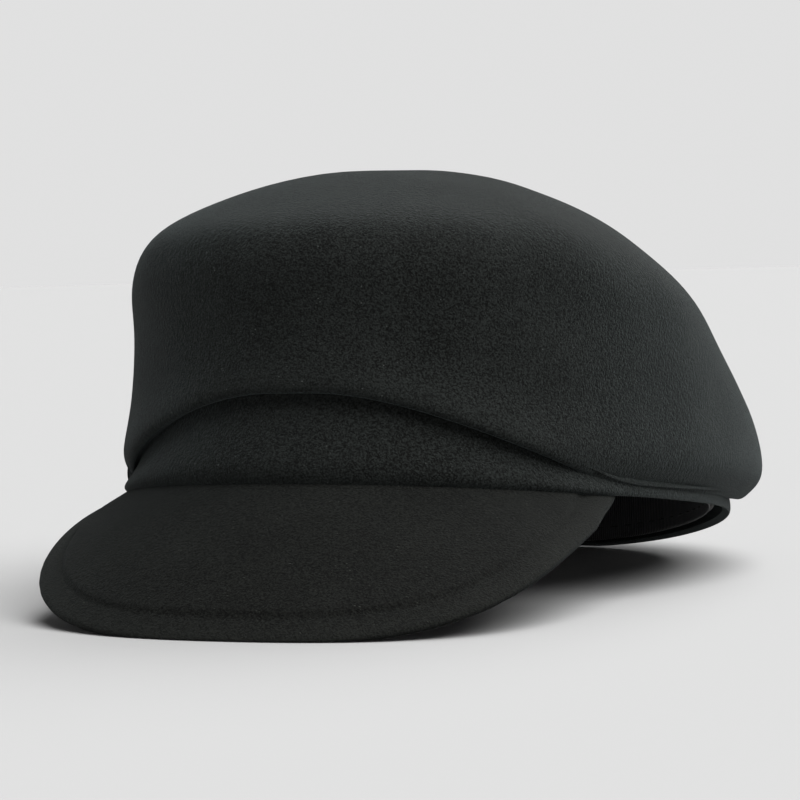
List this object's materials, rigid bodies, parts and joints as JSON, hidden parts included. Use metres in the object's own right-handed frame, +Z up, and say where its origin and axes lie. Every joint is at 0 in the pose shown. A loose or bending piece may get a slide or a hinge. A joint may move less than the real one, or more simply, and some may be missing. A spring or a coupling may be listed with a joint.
{
  "type": "newsboy cap",
  "caption": "Soft-crowned newsboy cap of blocked wool felt with a drooping stiffened visor, a head band and a ribbon sweatband inside.",
  "frame": {"origin": "on the table under the middle of the cap's bounding box, with the cap standing on its visor's tip and the nape of its rim", "axes": "-Y to the front, where the visor is; +X to the wearer's left; +Z up. The head opening's plane is tipped back 7.7 degrees about X"},
  "size_m": [0.1882, 0.2698, 0.1235],
  "materials": {
    "wool_felt": "black pressed wool felt with a short nap",
    "buckram": "stiffened black canvas",
    "grosgrain": "black ribbed ribbon with a soft sheen",
    "label_satin": "off-white satin, blank",
    "thread": "black twisted thread",
    "visor_board": "matt semi-rigid board"
  },
  "bodies": {
    "cap": {"felt_hood": "wool_felt", "band_stiffener": "buckram", "sweatband": "grosgrain", "sweatband_stitches": "thread", "sweatband_bow": "grosgrain", "care_label_stitches": "thread"},
    "visor": {"visor_top_felt": "wool_felt", "visor_board": "visor_board", "visor_under_felt": "wool_felt", "visor_edge_stitches": "thread", "visor_seam_stitches": "thread"},
    "care_label": {"care_label": "label_satin"}
  },
  "joints": [
    {"name": "visor_flex", "type": "hinge", "parent": "cap", "child": "visor", "pos_m": [0, -0.06752, 0.03361], "axis": [-1, 0, 0], "range_deg": [-5, 5], "stiffness_Nm_per_rad": 3},
    {"name": "care_label_swing", "type": "hinge", "parent": "cap", "child": "care_label", "pos_m": [-0.0414, 0.0945, 0.03388], "axis": [-0.7987, -0.5964, 0.0802], "range_deg": [0, 120]}
  ]
}
